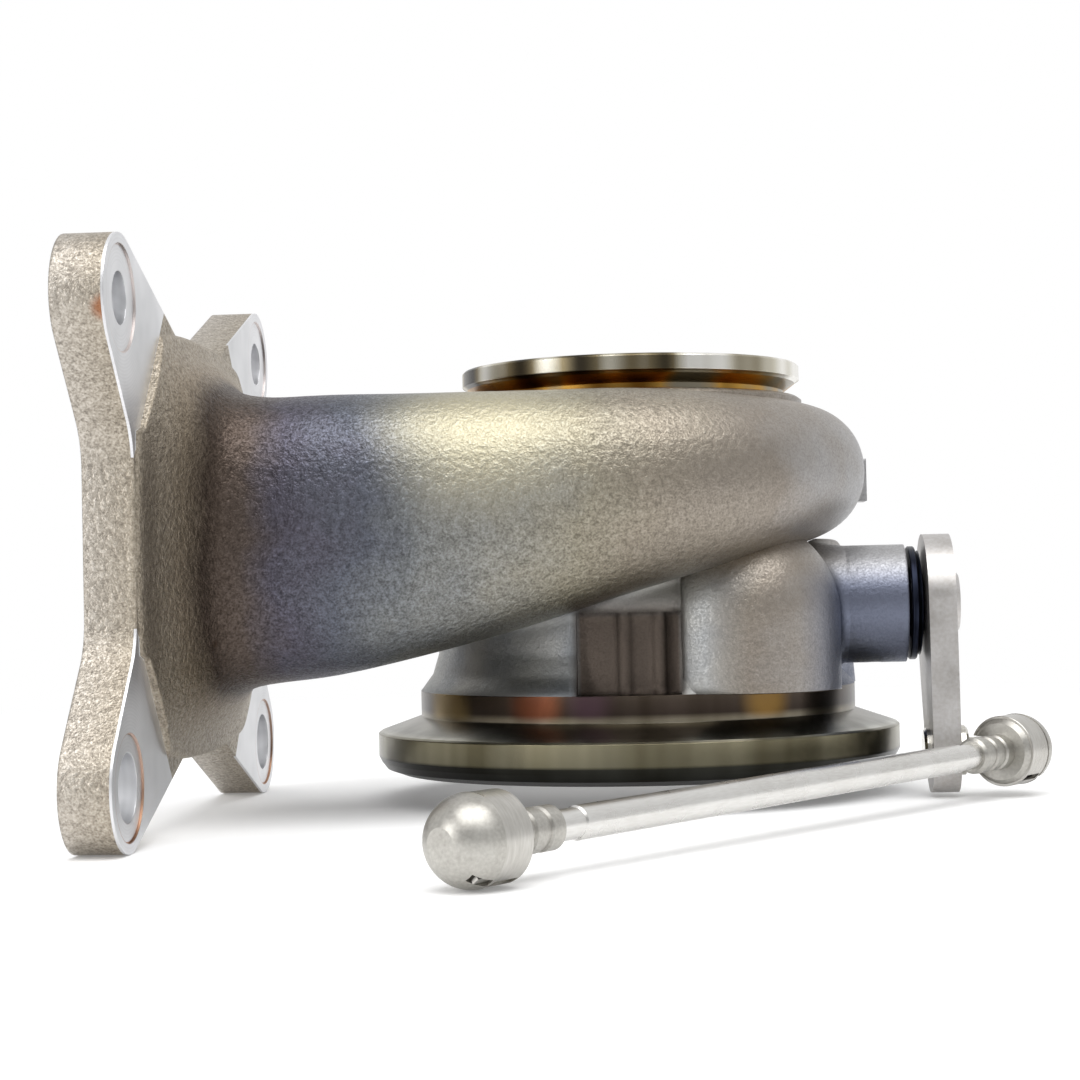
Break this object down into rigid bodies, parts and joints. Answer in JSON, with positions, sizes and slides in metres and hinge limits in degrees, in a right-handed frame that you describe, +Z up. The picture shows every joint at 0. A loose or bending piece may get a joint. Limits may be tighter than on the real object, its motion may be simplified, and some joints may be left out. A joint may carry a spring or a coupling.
{
  "type": "wastegated turbine housing",
  "caption": "Cast turbine housing with a lobed inlet flange, spiral gas way, clamp-flange joints, internal wastegate, lever and ball-jointed actuator link.",
  "frame": {"origin": "on the turbine axis, at the outlet joint face", "axes": "+Z up the turbine axis to the bearing housing, +X along the gas from the inlet flange to the lever, +Y away from the inlet side"},
  "size_m": [0.1604, 0.1931, 0.0964],
  "materials": {
    "cast_housing": "sand-cast stainless steel with heat tints and machined joint faces",
    "bearing_steel": "ground",
    "heat_blued_steel": "heat blued",
    "wastegate_alloy": "investment cast",
    "lever_plate": "satin",
    "ball_steel": "polished",
    "link_steel": "bright turned",
    "spring_sheet": "bright sheet"
  },
  "bodies": {
    "housing": {"turbine_housing": "cast_housing", "wastegate_bushing": "bearing_steel", "bushing_pin": "bearing_steel", "thrust_ring": "bearing_steel", "seal_ring": "heat_blued_steel", "lever_disc_spring": "heat_blued_steel"},
    "crank": {"spindle_arm": "wastegate_alloy", "lever": "lever_plate", "lever_weld_bead": "lever_plate", "ball_stud": "ball_steel"},
    "valve": {"valve_flap": "wastegate_alloy", "flap_disc_spring": "bearing_steel", "flap_retainer": "bearing_steel"},
    "link": {"link_rod": "link_steel", "free_end_socket": "link_steel", "free_end_band": "spring_sheet", "free_end_tongue": "spring_sheet", "lever_end_socket": "link_steel", "lever_end_band": "spring_sheet", "lever_end_tongue": "spring_sheet"}
  },
  "joints": [
    {"name": "wastegate_spindle", "type": "hinge", "parent": "housing", "child": "crank", "pos_m": [0, -0.0104, 0.0304], "axis": [1, 0, 0], "range_deg": [0, 40]},
    {"name": "valve_spin", "type": "hinge", "parent": "crank", "child": "valve", "pos_m": [0.02, -0.024, 0.034], "axis": [0, 0, 1], "continuous": true},
    {"name": "link_swivel", "type": "hinge", "parent": "crank", "child": "link", "pos_m": [0.0697, -0.01717, 0.00323], "axis": [1, 0, 0], "range_deg": [-25, 40]}
  ]
}
